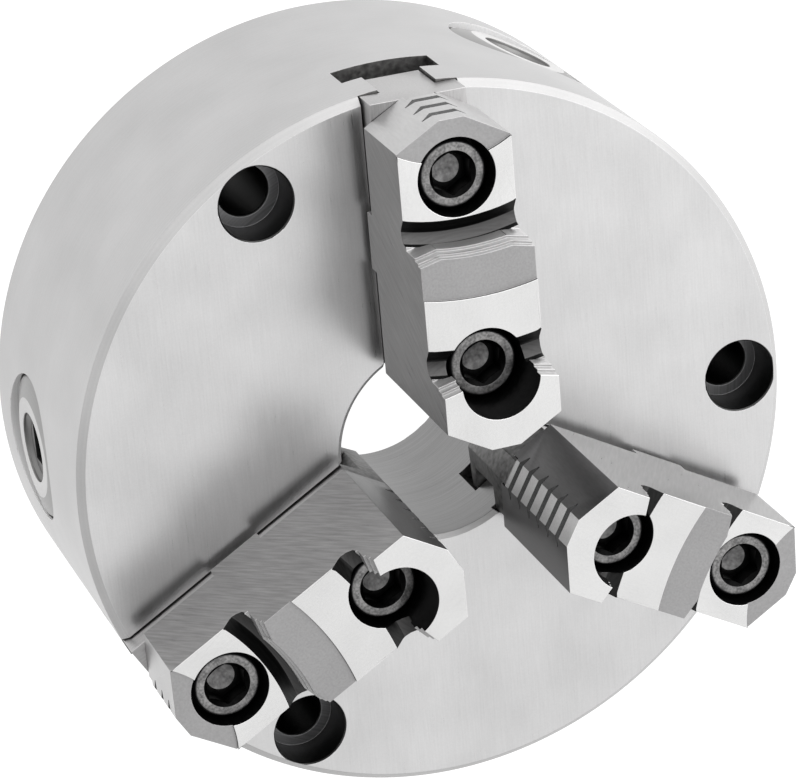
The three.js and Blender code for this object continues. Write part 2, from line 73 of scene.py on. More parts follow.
# How a face is told from its neighbours: a distance, and parts of its unit normal along an axis
NEAR = 0.1
LEVEL = 0.999
FLAT = 0.9
OUTWARDS = 0.6
LEANS = 0.5
TILTED = 0.3

# Body
BODY_RADIUS = 100
FACE = 86
BORE_RADIUS = 27.5
FRONT_CHAMFER = 2
BACK_CHAMFER = 1
BORE_CHAMFER = 1.2
REGISTER_RADIUS = 80
CAVITY_RADIUS = 78
CAVITY_CEILING = 66.3
HUB_RADIUS = 40
HUB_END = 23
COVER_SEAT = 12.8
BACK_FINISH_TOP = 12.3
SLOT_MOUTH = 13.6
SLOT_RIB = 8
SLOT_REAR = 13.5
RIB_FRONT = 83.5
RIB_BACK = 71
SLOT_FLOOR = 61.2
HUB_SLOT_FLOOR = 58
SLOT_START = 15
HOLE_CHAMFER = 0.4
MOUNTING_CIRCLE = 88
MOUNTING_HOLE_RADIUS = 6.75
COUNTERBORE_RADIUS = 10
COUNTERBORE_DEPTH = 12
MOUNTING_HOLE_REACH = 11
PINION_HEIGHT = 33
PINION_BORE_RADIUS = 20.3
PINION_BORE_START = 74
PINION_CONE_START = 96.7
PINION_RIM = 97.7
PORT_DEPTH = 0.5
PORT_TAPER = 0.1
PORT_CLEARANCE = 0.15
KEY_RECESS_RADIUS = 9.7
KEY_RECESS_FLOOR = 97.3
RETAINING_CIRCLE = 90
RETAINING_HOLE_RADIUS = 4.3
RETAINING_HOLE_OVERLAP = 2
COVER_SCREW_CIRCLE = 35.4
COVER_SCREW_HOLE_RADIUS = 2.3
COVER_SCREW_HOLE_END = 33

# Top jaws, heights above the front face. Each groove point is an offset inwards and upwards, and
# each band has the height of its step and the centre and radius of the arc that bounds it.
JAW_HALF = 15.4
UNDERSIDE = 6.3
STEPS = (31.6, 43.4, 53.6)
INNER_CORNER = 25.2
INNER_TIP = 18.6
INNER_TIP_HALF = 3.9
OUTER_CORNER = 93.2
OUTER_TIP = 100
OUTER_TIP_HALF = 3.4
GRIP_CENTRE = 130
WALLS = (68.6, 37.3)
LEDGES = 2
LEDGE_RISE = 2.3
LEDGE_DEPTH = 0.7
BEVEL_START = 9.5
BEVEL_REACH = 3
BEVEL_INSET = 1.6
GROOVE_EDGES = (73.6, 42.9)
GROOVE_FROM_EDGE = ((0, 0), (2.6, -1.8), (3.4, -2.1))
GROOVE_FROM_WALL = ((-0.4, -1.8), (1.2, -0.8), (1.6, 0.4), (1.0, 1.9))
GROOVE_BOTTOM = -2.2
GROOVE_SPREAD = 5
UNDERCUT_START = -1
WALL_FOOT = 2.6
WALL_CUT_TOP = 58.6
BANDS = ((STEPS[1], GRIP_CENTRE, 73.8), (STEPS[0], 118.6, 30))
BAND_DEPTH = 0.6
INNER_NOSE_TEETH = 7
OUTER_NOSE_TEETH = 4
NOTCH_DEPTH = 1.3
NOTCH_DOWN = 0.34       # shares of the tooth pitch
NOTCH_ROOT = 0.05
NOTCH_UP = 0.2
MASTER_NOSE_END = 25.7
KEY_INNER = 53.5
KEY_OUTER = 69.3
KEY_BOTTOM = 2.7
RAIL_HALF = 4.3
RAIL_TOP = 9.3

# Jaw screws: distance of each from the chuck's axis, height of its head's top, length of its shank
SCREW_PLACES = {"outer": (84.4, 28.6, 25), "inner": (36.9, 40.2, 35)}
HEAD_RADIUS = 9
HEAD_HEIGHT = 12
HEAD_CROWN = 1
CROWN_STEPS = 5
SEAT_GAP = 0.3
SHANK_RADIUS = 6
SHANK_CHAMFER = 1
SHANK_CLEARANCE = 0.7
SOCKET_ACROSS_FLATS = 10
SOCKET_DEPTH = 6
SOCKET_MOUTH = 1.3
DIMPLE_RADIUS = 3.8
DIMPLE_DEPTH = 1.6
DIMPLE_OVERLAP = 0.5
WELL_RADIUS = 10.5

# Camera, in degrees and metres, with the lens and the sensor in millimetres
VIEW_AZIMUTH = -143.65
VIEW_ELEVATION = 61.72
VIEW_ROLL = 135.03
VIEW_DISTANCE = 1.0477
VIEW_TARGET = Vector((0.0037, -0.0015, 0.043))
LENS = 169.62
SENSOR_WIDTH = 36
NEAREST_VIEW = 0.01

# Studio, in metres and watts: the sky is brighter on one side, and the floor glows white
SKY_STRENGTH = 1.1
BRIGHT_SIDE = (0.42, 0.56, 0)
KEY_DIRECTION = (0.6, 0.7, 0.5)
KEY_SIZE = 1.2
KEY_POWER = 5
KEY_DISTANCE = 1.1
FLOOR_HALF = 3
FLOOR_DROP = 0.0002
FLOOR_SHADE = 0.12
FLOOR_ROUGHNESS = 0.9
FLOOR_GLOW = 1.02


# ------------------------------------------------------------------ meshes
def new_piece(name, points, faces):
    mesh = bpy.data.meshes.new(name)
    mesh.from_pydata([Vector(point) * MM for point in points], [], faces)
    shape = bmesh.new()
    shape.from_mesh(mesh)
    bmesh.ops.recalc_face_normals(shape, faces=shape.faces)
    shape.to_mesh(mesh)
    shape.free()
    piece = bpy.data.objects.new(name, mesh)
    bpy.context.scene.collection.objects.link(piece)
    return piece


def turned(profile, sides=HOLE_SIDES, centre=(0, 0)):
    """A closed profile of (radius, height) points turned about an upright axis."""
    points = []
    rings = []
    for radius, height in profile:
        count = sides if radius > 0 else 1
        rings.append([len(points) + i for i in range(count)])
        for i in range(count):
            angle = 2 * math.pi * i / sides
            x = centre[0] + radius * math.cos(angle)
            y = centre[1] + radius * math.sin(angle)
            points.append((x, y, height))
    faces = []
    for low, high in zip(rings, rings[1:] + rings[:1]):
        if len(low) == len(high) == 1:
            continue
        for i in range(sides):
            j = (i + 1) % sides
            corners = (low[i % len(low)], low[j % len(low)], high[j % len(high)], high[i % len(high)])
            faces.append(list(dict.fromkeys(corners)))
    return new_piece("turned", points, faces)


def cylinder(radius, low, high, sides=HOLE_SIDES, centre=(0, 0)):
    return turned([(0, low), (radius, low), (radius, high), (0, high)], sides, centre)


def chamfered_hole(radius, floor, rim, centre=(0, 0), chamfer=HOLE_CHAMFER):
    """Cutter for a round hole that opens upwards at the height rim, with a chamfered mouth."""
    return turned([
        (0, floor),
        (radius, floor),
        (radius, rim - chamfer),
        (radius + chamfer + PAST, rim + PAST),
        (0, rim + PAST),
    ], centre=centre)


def prism(outline, low, high):
    count = len(outline)
    points = [(x, y, low) for x, y in outline] + [(x, y, high) for x, y in outline]
    faces = [list(range(count)), list(range(count, 2 * count))]
    faces += [[i, (i + 1) % count, count + (i + 1) % count, count + i] for i in range(count)]
    return new_piece("prism", points, faces)


def across_prism(outline, half_width):
    """An outline of (x, z) points, extruded across the jaw."""
    piece = prism(outline, -half_width, half_width)
    piece.data.transform(Matrix.Rotation(math.pi / 2, 4, "X"))
    return piece


def block(x_range, half_width, z_range):
    (x0, x1), (z0, z1) = x_range, z_range
    return prism([(x0, -half_width), (x1, -half_width), (x1, half_width), (x0, half_width)], z0, z1)


def laid_along_radius(piece, height):
    """Lays an upright turned shape down, so that its axis points outwards at that height."""
    piece.data.transform(Matrix.Translation((0, 0, height * MM)) @ Matrix.Rotation(math.pi / 2, 4, "Y"))
    return piece


def turned_to(piece, degrees):
    piece.matrix_world = Matrix.Rotation(math.radians(degrees), 4, "Z") @ piece.matrix_world
    return piece


def bake(piece):
    bpy.context.view_layer.update()
    shown = piece.evaluated_get(bpy.context.evaluated_depsgraph_get())
    mesh = bpy.data.meshes.new_from_object(shown)
    piece.modifiers.clear()
    piece.data = mesh
    return piece


def combine(piece, others, operation="DIFFERENCE"):
    """Cuts or joins the others, which are used up, one at a time."""
    for other in others:
        step = piece.modifiers.new("combine", "BOOLEAN")
        step.operation = operation
        step.solver = "MANIFOLD"
        step.object = other
        bake(piece)
        bpy.data.objects.remove(other)
    return weld(piece, CUT_WELD)


def weld(piece, reach, flatness=None):
    """Welds points that nearly meet; with a flatness in degrees, makes each flat face whole."""
    shape = bmesh.new()
    shape.from_mesh(piece.data)
    bmesh.ops.remove_doubles(shape, verts=shape.verts, dist=reach * MM)
    if flatness:
        bmesh.ops.dissolve_limit(
            shape, angle_limit=math.radians(flatness), verts=shape.verts, edges=shape.edges)
    shape.to_mesh(piece.data)
    shape.free()
    return piece


def round_edges(piece, width, limit=EDGE_LIMIT):
    """Breaks the edges sharper than a limit in degrees and shades the curved faces smooth."""
    for face in piece.data.polygons:
        face.use_smooth = True
    edges = piece.modifiers.new("broken_edges", "BEVEL")
    edges.width = width * MM
    edges.segments = 2
    edges.limit_method = "ANGLE"
    edges.angle_limit = math.radians(limit)
    edges.use_clamp_overlap = False
    edges.harden_normals = True
    return piece


def jaw_angle(number):
    return FIRST_JAW + (number - 1) * JAW_SPACING


# ------------------------------------------------------------------ material nodes
Z_AXIS = (0, 0, 1)
X_AXIS = (1, 0, 0)
CENTRE = (0, 0, 0)
PINION_CENTRE = (0, 0, PINION_HEIGHT * MM)

# Where nearly all values of a noise lie, and a wider span for gentle effects
NOISE_SPAN = (0.3, 0.7)
WIDE_SPAN = (0.25, 0.75)

# Bare steel: noise frequencies per metre, and how much each effect changes it
PATCH_FREQUENCY = 45
SPECKLE_FREQUENCY = 1900
SPECKLE = 0.02
ROUGHNESS_SPREAD = 0.1
STEEL_WEAR_RADIUS = 0.35

# Black oxide: it is rubbed where a face looks up and stands higher than a given height
OXIDE_SHADE = (0.028, 0.028, 0.03)
OXIDE_METALLIC = 0.85
OXIDE_ROUGHNESS = (0.34, 0.5)
OXIDE_RELIEF = 0.01
SPOT_FREQUENCY = 1500
SMEAR_FREQUENCY = 260
OXIDE_WEAR_RADIUS = 0.4
OXIDE_WEAR = 0.8
LOOKS_UP = (0.8, 0.97)
RUBBED_RISE = 0.5
RUBBED_NOISE = (0.8, 1.2)
RUBBED_SHARE = (0.25, 0.75)

# How alike the true and the rounded normal are on an open face and on a worn edge
EDGE_LIKENESS = (0.99, 0.85)


class Graph:
    """A material's node tree, with short ways to add and join nodes."""

    def __init__(self, name):
        self.material = bpy.data.materials.new(name)
        self.material.use_nodes = True
        self.tree = self.material.node_tree
        self.surface = self.tree.nodes["Principled BSDF"]
        self.place = self.add("ShaderNodeTexCoord").outputs["Object"]
        self.facing = self.add("ShaderNodeTexCoord").outputs["Normal"]

    def add(self, kind, inputs=None, **settings):
        node = self.tree.nodes.new(kind)
        for key, value in settings.items():
            setattr(node, key, value)
        for key, value in (inputs or {}).items():
            self.join(node.inputs[key], value)
        return node

    def join(self, socket, value):
        if isinstance(value, bpy.types.NodeSocket):
            self.tree.links.new(value, socket)
        else:
            socket.default_value = value

    def math(self, operation, *values):
        node = self.add("ShaderNodeMath", dict(enumerate(values)), operation=operation)
        return node.outputs[0]

    def vector(self, operation, *values):
        node = self.add("ShaderNodeVectorMath", dict(enumerate(values)), operation=operation)
        return node.outputs["Value" if operation in ("LENGTH", "DOT_PRODUCT") else "Vector"]

    def noise(self, vector, scale, detail=3):
        node = self.add("ShaderNodeTexNoise", {"Vector": vector, "Scale": scale, "Detail": detail})
        return node.outputs[0]

    def remap(self, value, source, target):
        node = self.add("ShaderNodeMapRange", {
            "Value": value, "From Min": source[0], "From Max": source[1],
            "To Min": target[0], "To Max": target[1]})
        return node.outputs[0]

    def blend(self, share, first, second):
        node = self.add("ShaderNodeMix", data_type="RGBA")
        self.join(node.inputs["Factor"], share)
        self.join(node.inputs["A"], (*first, 1) if isinstance(first, tuple) else first)
        self.join(node.inputs["B"], (*second, 1) if isinstance(second, tuple) else second)
        return node.outputs["Result"]

    def edge_wear(self, radius):
        """1 along sharp outer edges, 0 on open faces."""
        bevel = self.add("ShaderNodeBevel", {"Radius": radius * MM}, samples=4)
        normal = self.add("ShaderNodeNewGeometry").outputs["Normal"]
        alike = self.vector("DOT_PRODUCT", bevel.outputs["Normal"], normal)
        return self.remap(alike, EDGE_LIKENESS, (0, 1))


def scratches(along):
    """Straight grinding marks: along gives the noise's frequency per metre on each axis."""
    return lambda g: g.noise(g.vector("MULTIPLY", g.place, along), 1, 4)


def slanted_scratches(degrees, along):
    def marks(g):
        slant = g.add("ShaderNodeVectorRotate", {"Vector": g.place, "Angle": math.radians(degrees)},
                      rotation_type="Y_AXIS")
        return g.noise(g.vector("MULTIPLY", slant.outputs[0], along), 1, 4)
    return marks


def turning_marks(axis, centre, frequency):
    """Rings about an axis on flat faces, and lines round the axis on cylinders."""
    def marks(g):
        offset = g.vector("SUBTRACT", g.place, centre)
        across = tuple(1 - share for share in axis)
        radius = g.vector("LENGTH", g.vector("MULTIPLY", offset, across))
        height = g.vector("DOT_PRODUCT", offset, axis)
        rings = g.add("ShaderNodeCombineXYZ", {"X": radius, "Y": height}).outputs[0]
        return g.noise(rings, frequency, 4)
    return marks


def blasted(frequency):
    return lambda g: g.noise(g.place, frequency, 2)


def steel(name, shade, roughness, marks, contrast, depth=0.004, wear=0.15, cloud=0.05, metallic=1.0):
    """A bare metal: machining marks in tone, roughness and relief, uneven patches, bright edges."""
    g = Graph(name)
    grain = marks(g)
    patches = g.noise(g.place, PATCH_FREQUENCY, 2)
    speckle = g.noise(g.place, SPECKLE_FREQUENCY, 2)
    tone = g.math("ADD", g.remap(grain, NOISE_SPAN, (1 - contrast, 1 + contrast)),
                  g.remap(patches, NOISE_SPAN, (-cloud, cloud)))
    tone = g.math("ADD", tone, g.remap(speckle, NOISE_SPAN, (-SPECKLE, SPECKLE)))
    tone = g.math("ADD", tone, g.math("MULTIPLY", g.edge_wear(STEEL_WEAR_RADIUS), wear))
    scale = g.add("ShaderNodeVectorMath", {0: shade, "Scale": tone}, operation="SCALE")
    g.join(g.surface.inputs["Base Color"], scale.outputs["Vector"])
    g.surface.inputs["Metallic"].default_value = metallic
    spread = roughness * ROUGHNESS_SPREAD
    rough = g.remap(grain, WIDE_SPAN, (roughness - spread, roughness + spread))
    g.join(g.surface.inputs["Roughness"], rough)
    relief = g.add("ShaderNodeBump", {"Height": grain, "Strength": 1.0, "Distance": depth * MM})
    g.join(g.surface.inputs["Normal"], relief.outputs[0])
    return g.material


def oxide(name, bare=(0.30, 0.295, 0.29), worn_from=None):
    """Black oxide, rubbed bare on its edges, and on faces that look up from a height."""
    g = Graph(name)
    spots = g.noise(g.place, SPOT_FREQUENCY, 3)
    smears = g.noise(g.place, SMEAR_FREQUENCY, 2)
    rubbed = g.math("MULTIPLY", g.edge_wear(OXIDE_WEAR_RADIUS), OXIDE_WEAR)
    if worn_from is not None:
        height = g.add("ShaderNodeSeparateXYZ", {"Vector": g.place}).outputs["Z"]
        up = g.add("ShaderNodeSeparateXYZ", {"Vector": g.facing}).outputs["Z"]
        rise = (worn_from * MM, (worn_from + RUBBED_RISE) * MM)
        top = g.math("MULTIPLY", g.remap(up, LOOKS_UP, (0, 1)), g.remap(height, rise, (0, 1)))
        patchy = g.remap(g.math("ADD", spots, smears), RUBBED_NOISE, RUBBED_SHARE)
        rubbed = g.math("MAXIMUM", rubbed, g.math("MULTIPLY", top, patchy))
    g.join(g.surface.inputs["Base Color"], g.blend(rubbed, OXIDE_SHADE, bare))
    g.surface.inputs["Metallic"].default_value = OXIDE_METALLIC
    g.join(g.surface.inputs["Roughness"], g.remap(smears, NOISE_SPAN, OXIDE_ROUGHNESS))
    relief = g.add("ShaderNodeBump", {"Height": spots, "Strength": 1.0, "Distance": OXIDE_RELIEF * MM})
    g.join(g.surface.inputs["Normal"], relief.outputs[0])
    return g.material


def make_materials():
    rings = turning_marks(Z_AXIS, CENTRE, 1500)
    pinion_rings = turning_marks(X_AXIS, PINION_CENTRE, 1500)
    across_face = scratches((2300, 90, 2300))
    along_jaw = scratches((260, 2600, 260))
    along_nose = scratches((1800, 1800, 300))
    on_land = scratches((400, 2400, 2400))
    round_wall = scratches((120, 120, 2600))
    diagonal = slanted_scratches(28, (1500, 1500, 90))
    steels = {
        "body_face": ((0.66, 0.657, 0.658), 0.3, across_face, dict(contrast=0.03, depth=0.002)),
        "body_side": ((0.46, 0.457, 0.458), 0.36, rings, dict(contrast=0.06)),
        "body_rim": ((0.47, 0.467, 0.467), 0.5, rings, dict(contrast=0.04, metallic=0.45)),
        "body_bore": ((0.25, 0.249, 0.249), 0.3, scratches((60, 60, 2400)), dict(contrast=0.12)),
        # Painted shade: the slots and the cavity are painted a grainy dark grey.
        "slot": ((0.16, 0.157, 0.155), 0.5, blasted(700), dict(contrast=0.35)),
        # Painted shade: the mounting holes' walls are painted near black and their shoulder dark grey.
        "drilled_shade": ((0.05, 0.05, 0.05), 0.35, rings, dict(contrast=0.2)),
        "shoulder_shade": ((0.2, 0.2, 0.204), 0.4, rings, dict(contrast=0.25)),
        "jaw_top": ((0.77, 0.768, 0.765), 0.22, along_jaw, dict(contrast=0.012, depth=0.001)),
        "jaw_matte": ((0.38, 0.376, 0.378), 0.5, blasted(1800), dict(contrast=0.08)),
        "jaw_ledge": ((0.4, 0.397, 0.397), 0.45, scratches((120, 2600, 120)), dict(contrast=0.08)),
        # Painted shade: a dark line on the low wall along each lowered band.
        "band_edge_shade": ((0.1, 0.099, 0.099), 0.45, blasted(900), dict(contrast=0.2, wear=0)),
        "jaw_side": ((0.28, 0.277, 0.277), 0.3, diagonal, dict(contrast=0.2, depth=0.006, metallic=0.92)),
        "jaw_nose": ((0.18, 0.178, 0.179), 0.34, along_nose, dict(contrast=0.08)),
        "jaw_end": ((0.46, 0.457, 0.457), 0.36, along_nose, dict(contrast=0.06, metallic=0.9)),
        "jaw_land": ((0.66, 0.656, 0.654), 0.4, on_land, dict(contrast=0.08, metallic=0.5)),
        # Painted shade: the notches down a nose are painted near black.
        "jaw_notch_shade": ((0.07, 0.07, 0.07), 0.42, along_nose, dict(contrast=0.2)),
        "jaw_wall": ((0.54, 0.536, 0.537), 0.36, round_wall, dict(contrast=0.08, metallic=0.85)),
        # Painted shade: the relief groove's floor, undercut and side are painted dark.
        "jaw_groove_shade": ((0.07, 0.069, 0.069), 0.38, rings, dict(contrast=0.2)),
        "undercut_shade": ((0.045, 0.045, 0.045), 0.38, rings, dict(contrast=0.2)),
        "groove_side_shade": ((0.03, 0.03, 0.03), 0.4, rings, dict(contrast=0.2)),
        # Painted shade: the screw wells are painted near black.
        "jaw_well_shade": ((0.03, 0.03, 0.031), 0.4, blasted(900), dict(contrast=0.3)),
        "master": ((0.42, 0.415, 0.415), 0.34, scratches((200, 2400, 2400)), dict(contrast=0.1)),
        # Painted shade: the master jaw's nose and its part down in the slot are painted a grainy dark
        # grey.
        "master_nose_shade": ((0.22, 0.218, 0.216), 0.45, blasted(600), dict(contrast=0.4, depth=0.02)),
        "gear": ((0.36, 0.355, 0.35), 0.42, rings, dict(contrast=0.15)),
        # Painted light: the pinion bore's mouth is painted near white, brighter than steel, where it lies
        # in shade.
        "port": ((0.75, 0.746, 0.746), 0.5, pinion_rings, dict(contrast=0.06, metallic=0.3)),
        "pinion": ((0.54, 0.536, 0.534), 0.45, pinion_rings, dict(contrast=0.06, metallic=0.5)),
        "pinion_cone": ((0.3, 0.298, 0.296), 0.4, pinion_rings, dict(contrast=0.08)),
        "pinion_recess": ((0.2, 0.198, 0.196), 0.42, pinion_rings, dict(contrast=0.15)),
        # Painted shade: the pinion's key socket is painted near black.
        "pinion_socket_shade": ((0.03, 0.03, 0.03), 0.4, blasted(900), dict(contrast=0.3)),
        "cover": ((0.26, 0.26, 0.265), 0.55, rings, dict(contrast=0.18)),
        # Painted shade: the hexagon socket is painted blacker than the oxide.
        "socket": ((0.006, 0.006, 0.006), 0.4, blasted(900), dict(contrast=0.3, wear=0)),
        # Painted reflection: the dimple at the socket's bottom is painted light grey.
        "dimple": ((0.19, 0.188, 0.188), 0.45, blasted(700), dict(contrast=0.5, cloud=0.15, wear=0)),
    }
    materials = {}
    for name, (shade, roughness, marks, details) in steels.items():
        materials[name] = steel(name, shade, roughness, marks, **details)
    materials["screw"] = oxide("screw", bare=(0.58, 0.572, 0.565), worn_from=-0.4)
    materials["plain_screw"] = oxide("plain_screw")
    return materials


def paint(piece, materials, choose):
    """Gives each face the material that choose(centre in millimetres, normal) names."""
    names = []
    piece.data.materials.clear()
    for face in piece.data.polygons:
        name = choose(face.center / MM, face.normal)
        if name not in names:
            names.append(name)
            piece.data.materials.append(materials[name])
        face.material_index = names.index(name)
    return piece


# ------------------------------------------------------------------ body
def slot_cutters():
    length = (SLOT_START, BODY_RADIUS + PAST)
    return [
        block(length, SLOT_MOUTH, (RIB_FRONT, FACE + PAST)),
        block(length, SLOT_RIB, (RIB_BACK - PAST, RIB_FRONT + PAST)),
        block(length, SLOT_REAR, (SLOT_FLOOR, RIB_BACK)),
        block((SLOT_START, HUB_RADIUS + PAST), SLOT_REAR, (HUB_SLOT_FLOOR, SLOT_FLOOR + PAST)),
    ]


def front_hole_cutters():
    mounting = (MOUNTING_CIRCLE, 0)
    cover_screw = (COVER_SCREW_CIRCLE, 0)
    floor = FACE - COUNTERBORE_DEPTH
    return [
        chamfered_hole(COUNTERBORE_RADIUS, floor, FACE, mounting),
        chamfered_hole(MOUNTING_HOLE_RADIUS, -PAST, floor, mounting),
        cylinder(COVER_SCREW_HOLE_RADIUS, HUB_END - PAST, COVER_SCREW_HOLE_END, centre=cover_screw),
    ]


def pinion_hole_cutters():
    port_start = PINION_RIM - PORT_DEPTH
    port_radius = PINION_BORE_RADIUS + PORT_CLEARANCE
    bore = turned([
        (0, PINION_BORE_START),
        (PINION_BORE_RADIUS, PINION_BORE_START),
        (PINION_BORE_RADIUS, port_start),
        (port_radius, port_start + PORT_TAPER),
        (port_radius, BODY_RADIUS + PAST),
        (0, BODY_RADIUS + PAST),
    ], PORT_SIDES)
    screw_end = PINION_HEIGHT - PINION_BORE_RADIUS + RETAINING_HOLE_OVERLAP
    screw_hole = cylinder(RETAINING_HOLE_RADIUS, -PAST, screw_end, centre=(RETAINING_CIRCLE, 0))
    return [laid_along_radius(bore, PINION_HEIGHT), screw_hole]


def in_mounting_hole(centre):
    for number in NUMBERS:
        angle = math.radians(jaw_angle(number) + MOUNTING_OFFSET)
        axis = Vector((math.cos(angle), math.sin(angle))) * MOUNTING_CIRCLE
        if (centre.xy - axis).length < MOUNTING_HOLE_REACH and centre.z > COVER_SEAT:
            return True
    return False


def body_finish(centre, normal):
    radius = math.hypot(centre.x, centre.y)
    outwards = (normal.x * centre.x + normal.y * centre.y) / radius
    if normal.z > FLAT and centre.z > FACE - NEAR:
        return "body_face"
    if radius > BODY_RADIUS - FRONT_CHAMFER - NEAR and outwards > OUTWARDS:
        return "body_rim" if normal.z > TILTED else "body_side"
    if radius < BORE_RADIUS + BORE_CHAMFER + NEAR and outwards < -OUTWARDS:
        return "body_rim" if normal.z > TILTED else "body_bore"
    # Painted shade in the mounting holes: near black walls, a dark grey shoulder.
    if in_mounting_hole(centre):
        return "shoulder_shade" if normal.z > FLAT else "drilled_shade"
    if centre.z < BACK_FINISH_TOP:
        return "body_side"
    # The rest inside is painted a grainy dark grey, as painted shade in the slots and the cavity.
    in_port = radius > PINION_RIM - PORT_DEPTH - NEAR and centre.z < SLOT_FLOOR - NEAR
    # The pinion bore's mouth is painted near white, a painted light on its shaded wall.
    return "port" if in_port else "slot"


def make_body():
    body = turned([
        (BORE_RADIUS, HUB_END),
        (HUB_RADIUS, HUB_END),
        (HUB_RADIUS, CAVITY_CEILING),
        (CAVITY_RADIUS, CAVITY_CEILING),
        (CAVITY_RADIUS, COVER_SEAT),
        (REGISTER_RADIUS, COVER_SEAT),
        (REGISTER_RADIUS, 0),
        (BODY_RADIUS - BACK_CHAMFER, 0),
        (BODY_RADIUS, BACK_CHAMFER),
        (BODY_RADIUS, FACE - FRONT_CHAMFER),
        (BODY_RADIUS - FRONT_CHAMFER, FACE),
        (BORE_RADIUS + BORE_CHAMFER, FACE),
        (BORE_RADIUS, FACE - BORE_CHAMFER),
    ], BODY_SIDES)
    cutters = []
    for number in NUMBERS:
        angle = jaw_angle(number)
        cutters += [turned_to(cutter, angle) for cutter in slot_cutters()]
        cutters += [turned_to(cutter, angle + MOUNTING_OFFSET) for cutter in front_hole_cutters()]
        cutters += [turned_to(cutter, angle + PINION_LAG) for cutter in pinion_hole_cutters()]
    return combine(body, cutters)


# ------------------------------------------------------------------ top jaws
def wall_parts(foot, top):
    """The bottom, top and inset of each part of a gripping wall: it steps inwards at its ledges."""
    ledges = [FACE + top - (LEDGES - i) * LEDGE_RISE for i in range(LEDGES)]
    levels = [foot, *ledges, FACE + WALL_CUT_TOP]
    return [(low, high, i * LEDGE_DEPTH) for i, (low, high) in enumerate(zip(levels, levels[1:]))]


def step_cutter(wall, groove_edge, step, top):
    """Clears the space outside a curved wall and above a step, with the relief groove at its foot."""
    wall_radius = GRIP_CENTRE - wall
    edge_radius = GRIP_CENTRE - groove_edge
    height = FACE + step
    profile = [(0, height)]
    profile += [(edge_radius + inwards, height + up) for inwards, up in GROOVE_FROM_EDGE]
    profile += [(wall_radius + inwards, height + up) for inwards, up in GROOVE_FROM_WALL]
    for low, high, inset in wall_parts(height + WALL_FOOT, top):
        profile += [(wall_radius + inset, low), (wall_radius + inset, high)]
    profile.append((0, FACE + WALL_CUT_TOP))
    return turned(profile, ARC_SIDES, (GRIP_CENTRE, 0))


def wall_end_cutters(wall, step, top):
    """Bevel both ends of a gripping wall, ledges and all."""
    corner = JAW_HALF + PAST
    bulge = BEVEL_START ** 2 / (2 * (GRIP_CENTRE - wall))
    cutters = []
    for low, high, inset in wall_parts(FACE + step + PAST, top):
        outer = wall + bulge - inset
        for side in (1, -1):
            cutters.append(prism([
                (outer, side * BEVEL_START),
                (outer + BEVEL_REACH, side * BEVEL_START),
                (outer + BEVEL_REACH, side * corner),
                (outer - BEVEL_INSET, side * corner),
            ], low, high))
    return cutters


def nose_notches(tip, inwards, top, teeth):
    """Notches that leave a row of short teeth down a nose; inwards is the sign of x into the jaw."""
    pitch = (top - UNDERSIDE) / teeth
    cutters = []
    for i in range(1, teeth):
        height = FACE + UNDERSIDE + i * pitch
        cutters.append(across_prism([
            (tip - inwards * PAST, height - NOTCH_DOWN * pitch),
            (tip + inwards * NOTCH_DEPTH, height - NOTCH_ROOT * pitch),
            (tip + inwards * NOTCH_DEPTH, height + NOTCH_ROOT * pitch),
            (tip - inwards * PAST, height + NOTCH_UP * pitch),
        ], JAW_HALF))
    return cutters


def screw_wells():
    cutters = []
    for place, head_top, _ in SCREW_PLACES.values():
        floor = FACE + head_top - HEAD_HEIGHT
        hole_radius = SHANK_RADIUS + SHANK_CLEARANCE
        cutters.append(cylinder(WELL_RADIUS, floor, FACE + STEPS[2] + PAST, centre=(place, 0)))
        cutters.append(cylinder(hole_radius, FACE, floor + PAST, centre=(place, 0)))
    return cutters


def well_finish(centre, normal):
    """The painted shade inside a screw well, its walls and floor near black, or None elsewhere."""
    height = centre.z - FACE
    for place, head_top, _ in SCREW_PLACES.values():
        inside = math.hypot(centre.x - place, centre.y) < WELL_RADIUS + 2 * NEAR
        if inside and (abs(normal.z) < LEANS or height < head_top - HEAD_HEIGHT + NEAR):
            return "jaw_well_shade"
    return None


def groove_finish(centre, normal):
    """The painted shade in a relief groove, or None elsewhere: its side, floor and undercut are painted
    dark, the side darkest.
    """
    for wall, edge, step in zip(WALLS, GROOVE_EDGES, STEPS):
        up = centre.z - FACE - step
        beside = wall - GROOVE_SPREAD < centre.x < edge + GROOVE_SPREAD
        inside = beside and GROOVE_BOTTOM < up < WALL_FOOT
        if not inside or abs(normal.y) > FLAT or normal.z > LEVEL:
            continue
        if normal.x < 0 and normal.z > 0:
            return "groove_side_shade"
        return "jaw_groove_shade" if up < UNDERCUT_START else "undercut_shade"
    return None


def band_edge_finish(centre, normal):
    """The painted shade line on the low wall along a lowered band, or None elsewhere."""
    height = centre.z - FACE
    for step, arc_centre, arc_radius in BANDS:
        from_arc = abs(math.hypot(centre.x - arc_centre, centre.y) - arc_radius)
        if from_arc < NEAR and step - BAND_DEPTH < height < step and abs(normal.z) < LEANS:
            return "band_edge_shade"
    return None


def upward_finish(centre, normal):
    """The finish of a step's top, its band or a wall's ledge, or None elsewhere."""
    height = centre.z - FACE
    if normal.z < FLAT:
        return None
    if min(abs(height - step) for step in STEPS) < NEAR:
        return "jaw_top"
    if min(abs(height - step + BAND_DEPTH) for step, _, _ in BANDS) < NEAR:
        return "jaw_matte"
    return "jaw_ledge" if height > STEPS[0] + WALL_FOOT else None


def tip_finish(centre, normal):
    """The finish of the flat land, or the painted shade in the notches of a nose, or None elsewhere."""
    from_tip = min(centre.x - INNER_TIP, OUTER_TIP - centre.x)
    across = abs(normal.x) > FLAT
    if from_tip < NEAR and across:
        return "jaw_land" if centre.x < OUTER_TIP / 2 else "jaw_end"
    in_notch = from_tip < NOTCH_DEPTH + NEAR and (abs(normal.z) > LEANS or across)
    return "jaw_notch_shade" if in_notch else None


